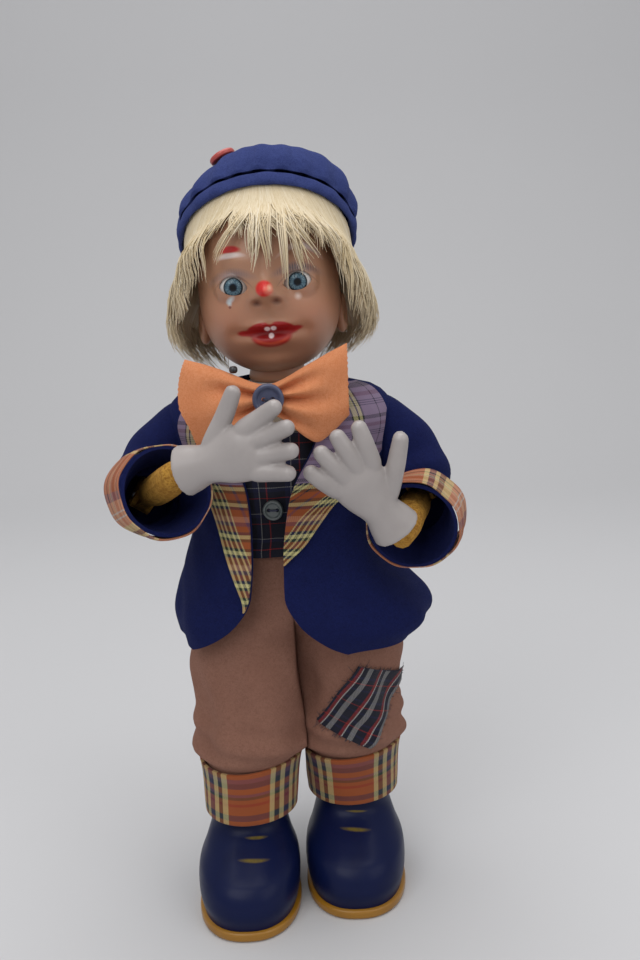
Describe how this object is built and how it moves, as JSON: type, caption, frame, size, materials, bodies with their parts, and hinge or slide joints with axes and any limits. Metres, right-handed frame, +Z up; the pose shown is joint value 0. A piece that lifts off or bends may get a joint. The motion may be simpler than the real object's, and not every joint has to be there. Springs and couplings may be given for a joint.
{
  "type": "clown doll",
  "caption": "Free-standing clown doll in a felt cap, jacket and patched trousers, with a bow tie, a turning head, jointed arms and swinging legs.",
  "frame": {"origin": "middle of the bounding box, on the floor under the soles", "axes": "+Z up; the doll faces -Y; its right side is at -X"},
  "size_m": [0.1751, 0.1545, 0.4019],
  "materials": {
    "skin": "satin paint",
    "eye_glass": "clear gloss",
    "hair": "brushed mohair",
    "blue_felt": "fuzzy felt",
    "plaid": "woven plaid",
    "dark_plaid": "woven plaid",
    "orange_felt": "felt",
    "pink_felt": "felt",
    "glove_white": "satin paint",
    "foam": "open foam",
    "wood": "bare",
    "steel": "bare",
    "boot_blue": "satin gloss paint",
    "sole_yellow": "paint",
    "red_plastic": "gloss",
    "grey_plastic": "gloss",
    "green_plastic": "gloss",
    "black_plastic": "gloss",
    "ring_white": "matt",
    "stuffing": "cotton cover"
  },
  "bodies": {
    "torso": {"spine_post": "wood", "neck_post": "wood", "neck_ring": "ring_white", "shoulder_rod": "steel", "shoulder_cap_right": "steel", "shoulder_cap_left": "steel", "hip_rod": "steel", "hip_cap_right": "steel", "hip_cap_left": "steel", "torso_stuffing": "stuffing", "trouser_seat": "pink_felt", "shirt_front": "dark_plaid", "shirt_button": "green_plastic", "jacket_body": "blue_felt", "lapel_right": "plaid", "lapel_left": "plaid", "bow_tie": "orange_felt", "bow_button": "grey_plastic", "collar_bead": "black_plastic"},
    "head": {"head_shell": "skin", "eye_right": "eye_glass", "eye_left": "eye_glass", "wig": "hair", "cap_band": "blue_felt", "cap_crown": "blue_felt", "cap_button": "red_plastic"},
    "arm_right": {"upper_arm_right": "foam", "sleeve_right": "blue_felt"},
    "forearm_right": {"forearm_right": "foam", "elbow_pin_right": "steel", "hand_right": "glove_white", "sleeve_cuff_right": "plaid"},
    "leg_right": {"leg_post_right": "wood", "trouser_leg_right": "pink_felt", "turn_up_right": "plaid", "boot_upper_right": "boot_blue", "boot_sole_right": "sole_yellow"},
    "arm_left": {"upper_arm_left": "foam", "sleeve_left": "blue_felt"},
    "forearm_left": {"forearm_left": "foam", "elbow_pin_left": "steel", "hand_left": "glove_white", "sleeve_cuff_left": "plaid"},
    "leg_left": {"leg_post_left": "wood", "trouser_leg_left": "pink_felt", "turn_up_left": "plaid", "boot_upper_left": "boot_blue", "boot_sole_left": "sole_yellow", "knee_patch": "dark_plaid"}
  },
  "joints": [
    {"name": "head_turn", "type": "hinge", "parent": "torso", "child": "head", "pos_m": [-0.0003, 0.015, 0.287], "axis": [0, 0, 1], "range_deg": [-30, 30]},
    {"name": "shoulder_swing_right", "type": "hinge", "parent": "torso", "child": "arm_right", "pos_m": [-0.0525, 0.016, 0.262], "axis": [1, 0, 0], "range_deg": [-18, 8]},
    {"name": "elbow_bend_right", "type": "hinge", "parent": "arm_right", "child": "forearm_right", "pos_m": [-0.07182, -0.00608, 0.22657], "axis": [0.8052, 0.1943, -0.5603], "range_deg": [0, 40], "deforming": ["sleeve_right"]},
    {"name": "hip_swing_right", "type": "hinge", "parent": "torso", "child": "leg_right", "pos_m": [-0.024, 0.013, 0.146], "axis": [1, 0, 0], "range_deg": [-9, 9]},
    {"name": "shoulder_swing_left", "type": "hinge", "parent": "torso", "child": "arm_left", "pos_m": [0.0525, 0.016, 0.262], "axis": [1, 0, 0], "range_deg": [-18, 8]},
    {"name": "elbow_bend_left", "type": "hinge", "parent": "arm_left", "child": "forearm_left", "pos_m": [0.07339, 0.00672, 0.22208], "axis": [0.8281, -0.2638, 0.4947], "range_deg": [0, 40], "deforming": ["sleeve_left"]},
    {"name": "hip_swing_left", "type": "hinge", "parent": "torso", "child": "leg_left", "pos_m": [0.03, 0.013, 0.146], "axis": [1, 0, 0], "range_deg": [-9, 9]}
  ]
}
